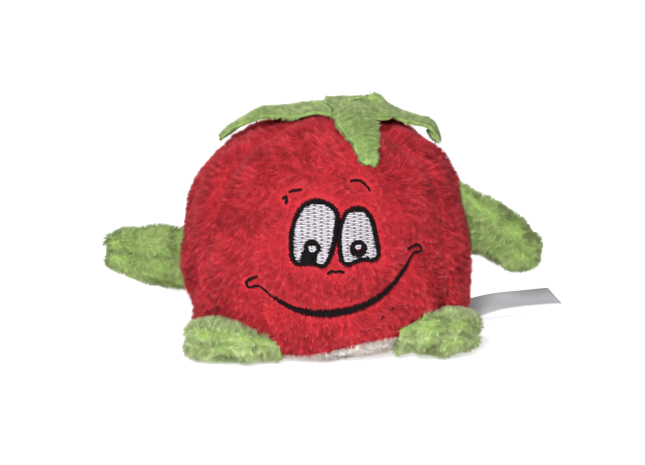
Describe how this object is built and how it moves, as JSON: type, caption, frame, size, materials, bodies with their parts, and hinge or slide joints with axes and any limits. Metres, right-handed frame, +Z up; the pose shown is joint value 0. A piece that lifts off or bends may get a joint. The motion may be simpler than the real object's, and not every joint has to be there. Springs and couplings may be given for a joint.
{
  "type": "plush pincushion figure",
  "caption": "Small stuffed plush tomato figure with an embroidered smiling face, stub arms and feet, a leafy green calyx and a flat white base, used as a soft pincushion.",
  "frame": {"origin": "middle of the flat underside of the base panel, on the surface that the object stands on", "axes": "+Z up, -Y out of the embroidered face, +X to the viewer's right as the face is seen from the front"},
  "size_m": [0.1334, 0.0794, 0.0658],
  "materials": {
    "red_plush": "short pile plush",
    "green_plush": "short pile plush",
    "white_plush": "brushed plush",
    "filling": "loose polyester fibre",
    "black_thread": "embroidery thread",
    "white_thread": "embroidery thread",
    "green_thread": "sewing thread",
    "red_thread": "sewing thread",
    "white_satin": "woven satin"
  },
  "bodies": {
    "body": {"face_panel": "red_plush", "side_panel_right": "red_plush", "side_panel_left": "red_plush", "back_panel_right": "red_plush", "back_panel_left": "red_plush", "base_panel": "white_plush", "body_stuffing": "filling", "left_eye_outline": "black_thread", "left_eye_white": "white_thread", "left_pupil": "black_thread", "left_pupil_highlight": "white_thread", "left_brow": "black_thread", "right_eye_outline": "black_thread", "right_eye_white": "white_thread", "right_pupil": "black_thread", "right_pupil_highlight": "white_thread", "right_brow": "black_thread", "nose_stitch": "black_thread", "mouth_stitch": "black_thread", "smile_end_stitches": "black_thread", "calyx_centre": "green_plush", "calyx_tack_stitch": "green_thread", "closing_seam_stitches": "red_thread"},
    "left_arm": {"left_arm_upper_shell": "green_plush", "left_arm_lower_shell": "green_plush", "left_arm_stuffing": "filling"},
    "right_arm": {"right_arm_upper_shell": "green_plush", "right_arm_lower_shell": "green_plush", "right_arm_stuffing": "filling"},
    "left_foot": {"left_foot_upper_shell": "green_plush", "left_foot_lower_shell": "green_plush", "left_foot_stuffing": "filling"},
    "right_foot": {"right_foot_upper_shell": "green_plush", "right_foot_lower_shell": "green_plush", "right_foot_stuffing": "filling"},
    "left_leaf": {"calyx_leaf_left": "green_plush"},
    "front_leaf": {"calyx_leaf_front": "green_plush"},
    "right_leaf": {"calyx_leaf_right": "green_plush"},
    "back_leaf": {"calyx_leaf_back": "green_plush"},
    "label": {"care_label": "white_satin"}
  },
  "joints": [
    {"name": "left_arm_flap", "type": "hinge", "parent": "body", "child": "left_arm", "pos_m": [-0.04172, -0.00073, 0.0227], "axis": [0.0401, 0.0007, 0.9992], "range_deg": [-60, 60], "stiffness_Nm_per_rad": 0.0008},
    {"name": "right_arm_flap", "type": "hinge", "parent": "body", "child": "right_arm", "pos_m": [0.04071, -0.00213, 0.03276], "axis": [-0.1491, 0.0078, 0.9888], "range_deg": [-60, 60], "stiffness_Nm_per_rad": 0.0008},
    {"name": "left_foot_flap", "type": "hinge", "parent": "body", "child": "left_foot", "pos_m": [-0.01398, -0.03104, 0.0009], "axis": [-0.2588, -0.9659, 0], "range_deg": [0, 50], "stiffness_Nm_per_rad": 0.001},
    {"name": "right_foot_flap", "type": "hinge", "parent": "body", "child": "right_foot", "pos_m": [0.01596, -0.02919, 0.0009], "axis": [-0.342, 0.9397, 0], "range_deg": [0, 50], "stiffness_Nm_per_rad": 0.001},
    {"name": "left_leaf_lift", "type": "hinge", "parent": "body", "child": "left_leaf", "pos_m": [0.00171, -0.00141, 0.06498], "axis": [-0.0523, 0.9981, 0.0322], "range_deg": [0, 75], "stiffness_Nm_per_rad": 0.0003},
    {"name": "front_leaf_lift", "type": "hinge", "parent": "body", "child": "front_leaf", "pos_m": [0.01045, -0.00874, 0.06314], "axis": [-0.9717, -0.1193, 0.2041], "range_deg": [0, 75], "stiffness_Nm_per_rad": 0.0003},
    {"name": "right_leaf_lift", "type": "hinge", "parent": "body", "child": "right_leaf", "pos_m": [0.01718, 0.00035, 0.06188], "axis": [0.1733, -0.983, -0.0606], "range_deg": [0, 75], "stiffness_Nm_per_rad": 0.0003},
    {"name": "back_leaf_lift", "type": "hinge", "parent": "body", "child": "back_leaf", "pos_m": [0.00841, 0.00672, 0.06389], "axis": [0.9702, 0.1364, -0.2001], "range_deg": [0, 75], "stiffness_Nm_per_rad": 0.0003},
    {"name": "care_label_flap", "type": "hinge", "parent": "body", "child": "label", "pos_m": [0.0378, 0.0132, 0.0049], "axis": [0.4067, -0.9135, 0], "range_deg": [-7, 32], "stiffness_Nm_per_rad": 0.0003}
  ]
}
